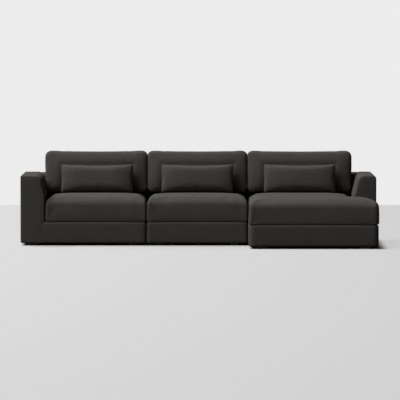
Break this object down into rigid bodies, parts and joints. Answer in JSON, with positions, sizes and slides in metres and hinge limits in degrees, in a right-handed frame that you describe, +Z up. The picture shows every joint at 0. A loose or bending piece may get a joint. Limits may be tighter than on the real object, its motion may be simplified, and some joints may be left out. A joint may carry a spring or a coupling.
{
  "type": "sectional sofa with chaise",
  "caption": "Modular sectional sofa with a right-hand chaise, padded arms, loose seat and back cushions and lumbar pillows.",
  "frame": {"origin": "on the floor under the middle of the sofa's plan", "axes": "+X to the right of a person facing the sofa, +Y to its back, +Z up"},
  "size_m": [3.5, 1.62, 0.9052],
  "materials": {
    "upholstery": "charcoal brushed flat weave",
    "deck_cloth": "black deck cloth",
    "webbing": "elastic webbing",
    "dust_cloth": "non-woven black dust cloth",
    "timber": "sawn hardwood",
    "black_plastic": "moulded, fine matt texture",
    "steel": "zinc plated"
  },
  "bodies": {
    "root": {"left_seat_frame": "timber", "left_webbing": "webbing", "left_base_cover": "upholstery", "left_deck": "deck_cloth", "left_dust_cover": "dust_cloth", "left_arm_frame": "timber", "left_arm_cover": "upholstery", "left_back_frame": "timber", "left_back_cover": "upholstery", "left_foot_1": "black_plastic", "left_foot_2": "black_plastic", "left_foot_3": "black_plastic", "left_foot_4": "black_plastic", "middle_seat_frame": "timber", "middle_webbing": "webbing", "middle_base_cover": "upholstery", "middle_deck": "deck_cloth", "middle_dust_cover": "dust_cloth", "middle_back_frame": "timber", "middle_back_cover": "upholstery", "middle_foot_1": "black_plastic", "middle_foot_2": "black_plastic", "middle_foot_3": "black_plastic", "middle_foot_4": "black_plastic", "chaise_seat_frame": "timber", "chaise_webbing": "webbing", "chaise_base_cover": "upholstery", "chaise_deck": "deck_cloth", "chaise_dust_cover": "dust_cloth", "chaise_arm_frame": "timber", "chaise_arm_cover": "upholstery", "chaise_back_frame": "timber", "chaise_back_cover": "upholstery", "chaise_foot_1": "black_plastic", "chaise_foot_2": "black_plastic", "chaise_foot_3": "black_plastic", "chaise_foot_4": "black_plastic", "chaise_foot_5": "black_plastic", "chaise_foot_6": "black_plastic", "left_to_middle_front_fork": "steel", "left_to_middle_front_pin": "steel", "left_to_middle_rear_fork": "steel", "left_to_middle_rear_pin": "steel", "middle_to_chaise_front_fork": "steel", "middle_to_chaise_front_pin": "steel", "middle_to_chaise_rear_fork": "steel", "middle_to_chaise_rear_pin": "steel"},
    "left_seat": {"left_seat_cushion": "upholstery"},
    "left_backrest": {"left_back_cushion": "upholstery"},
    "left_pillow": {"left_lumbar_pillow": "upholstery"},
    "middle_seat": {"middle_seat_cushion": "upholstery"},
    "middle_backrest": {"middle_back_cushion": "upholstery"},
    "middle_pillow": {"middle_lumbar_pillow": "upholstery"},
    "chaise_seat": {"chaise_seat_cushion": "upholstery"},
    "chaise_backrest": {"chaise_back_cushion": "upholstery"},
    "chaise_pillow": {"chaise_lumbar_pillow": "upholstery"}
  },
  "joints": [
    {"name": "left_seat_lift", "type": "slide", "parent": "root", "child": "left_seat", "axis": [0, 0, 1], "range_m": [0, 0.5]},
    {"name": "left_backrest_lift", "type": "slide", "parent": "left_seat", "child": "left_backrest", "axis": [0, 0.2179, 0.976], "range_m": [0, 0.34]},
    {"name": "left_pillow_lift", "type": "slide", "parent": "left_backrest", "child": "left_pillow", "axis": [0, -0.6, 0.8], "range_m": [0, 0.36]},
    {"name": "middle_seat_lift", "type": "slide", "parent": "root", "child": "middle_seat", "axis": [0, 0, 1], "range_m": [0, 0.5]},
    {"name": "middle_backrest_lift", "type": "slide", "parent": "middle_seat", "child": "middle_backrest", "axis": [0, 0.2179, 0.976], "range_m": [0, 0.34]},
    {"name": "middle_pillow_lift", "type": "slide", "parent": "middle_backrest", "child": "middle_pillow", "axis": [0, -0.6, 0.8], "range_m": [0, 0.36]},
    {"name": "chaise_seat_lift", "type": "slide", "parent": "root", "child": "chaise_seat", "axis": [0, 0, 1], "range_m": [0, 0.5]},
    {"name": "chaise_backrest_lift", "type": "slide", "parent": "chaise_seat", "child": "chaise_backrest", "axis": [0, 0.2179, 0.976], "range_m": [0, 0.34]},
    {"name": "chaise_pillow_lift", "type": "slide", "parent": "chaise_backrest", "child": "chaise_pillow", "axis": [0, -0.6, 0.8], "range_m": [0, 0.36]}
  ]
}
